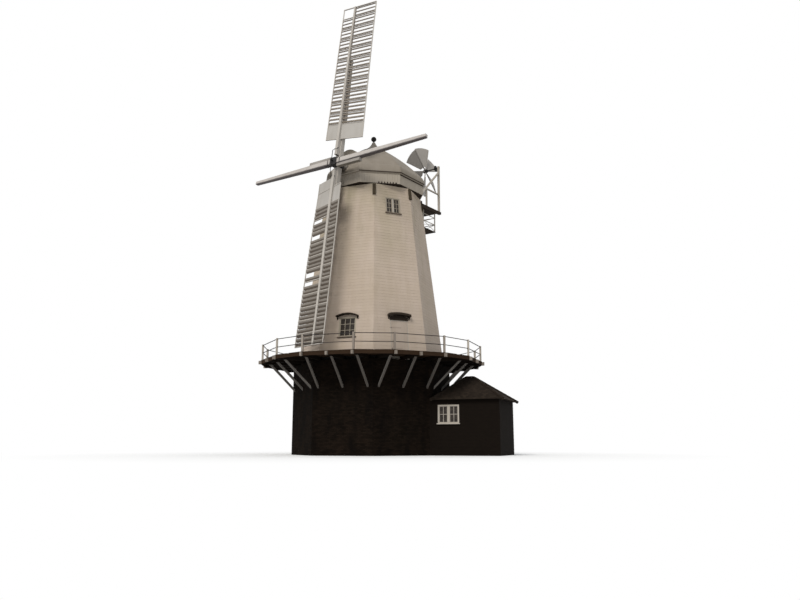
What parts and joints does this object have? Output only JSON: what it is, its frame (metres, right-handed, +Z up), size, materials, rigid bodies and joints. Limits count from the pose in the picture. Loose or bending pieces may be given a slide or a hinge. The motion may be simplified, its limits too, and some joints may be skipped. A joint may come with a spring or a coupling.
{
  "type": "smock windmill",
  "caption": "White weatherboarded octagonal smock windmill with a stage, ogee cap, fantail, patent sails, a bare stock, tarred brick base and small hipped annexe.",
  "frame": {"origin": "on the mill's vertical axis at the ground", "axes": "+Z up along the tower's axis, +X towards the annexe, -Y out of the windowed stage face"},
  "size_m": [15.9337, 14.3007, 28.5043],
  "materials": {
    "tarred_brick": "brickwork under worn black tar, matt",
    "weatherboard": "lapped boards in weathered off-white paint",
    "cap_boards": "narrow boards in weathered off-white paint",
    "white_timber": "painted off-white, weathered",
    "floor_timber": "bare boards",
    "stage_timber": "dark brown, weathered",
    "sail_timber": "painted white, weathered",
    "shutter_board": "painted white, weathered",
    "iron": "dark paint, some rust",
    "pane": "clear",
    "door_paint": "painted white",
    "roof_tile": "plain tiles, weathered brown",
    "dark_board": "tarred boards",
    "concrete": "rough",
    "cap_timber": "sawn timber, weathered"
  },
  "bodies": {
    "tower": {"ground_floor": "concrete", "base_walls_square": "tarred_brick", "base_walls_diagonal": "tarred_brick", "base_door_wall": "tarred_brick", "base_door": "dark_board", "smock_walls_side": "weatherboard", "smock_walls_plain": "weatherboard", "smock_walls_window": "weatherboard", "door_wall_jambs": "weatherboard", "door_wall_heads": "weatherboard", "stage_floor": "floor_timber", "upper_floor": "floor_timber", "stage_windows": "white_timber", "upper_windows": "white_timber", "annexe_window": "white_timber", "window_glass": "pane", "window_hoods": "dark_board", "stage_door_frames": "white_timber", "door_pins": "iron", "rear_stage_door": "door_paint", "stage_joists": "stage_timber", "stage_braces": "white_timber", "stage_deck": "stage_timber", "rail_posts": "white_timber", "stage_rails": "iron", "stage_fascia": "stage_timber", "annexe_floor": "concrete", "annexe_front_wall": "dark_board", "annexe_back_wall": "dark_board", "annexe_door": "dark_board", "annexe_end_wall": "dark_board", "annexe_roof": "roof_tile", "curb": "cap_timber"},
    "cap": {"cap_sill": "cap_timber", "petticoat": "cap_boards", "sheers": "white_timber", "cap_roof": "cap_boards", "cap_front": "cap_boards", "finial": "iron", "weather_beam": "cap_timber", "tail_beam": "cap_timber", "fan_platform": "cap_timber", "fan_frame": "white_timber", "fan_gallery": "cap_timber", "gallery_hangers": "white_timber"},
    "sails": {"windshaft": "iron", "sail_stock": "sail_timber", "bare_stock": "sail_timber", "upper_sail_frame": "sail_timber", "lower_sail_frame": "sail_timber", "upper_shutters": "shutter_board", "lower_shutters": "shutter_board", "heel_boards": "shutter_board", "stock_clamps": "sail_timber"},
    "fan": {"fan_axle": "iron", "fan_blades": "white_timber"},
    "door": {"stage_door": "door_paint", "door_straps": "iron"}
  },
  "joints": [
    {"name": "cap_turn", "type": "hinge", "parent": "tower", "child": "cap", "pos_m": [0, 0, 16], "axis": [0, 0, 1], "continuous": true},
    {"name": "sail_spin", "type": "hinge", "parent": "cap", "child": "sails", "pos_m": [-0.99778, -3.47966, 17.23], "axis": [-0.2728, -0.9514, 0.1426], "continuous": true},
    {"name": "fan_spin", "type": "hinge", "parent": "cap", "child": "fan", "pos_m": [1.68136, 5.86359, 19.8], "axis": [0.9613, -0.2756, 0], "continuous": true},
    {"name": "stage_door_hinge", "type": "hinge", "parent": "tower", "child": "door", "pos_m": [2.4256, -3.14119, 6.52489], "axis": [0.0829, -0.0829, -0.9931], "range_deg": [0, 100]}
  ]
}
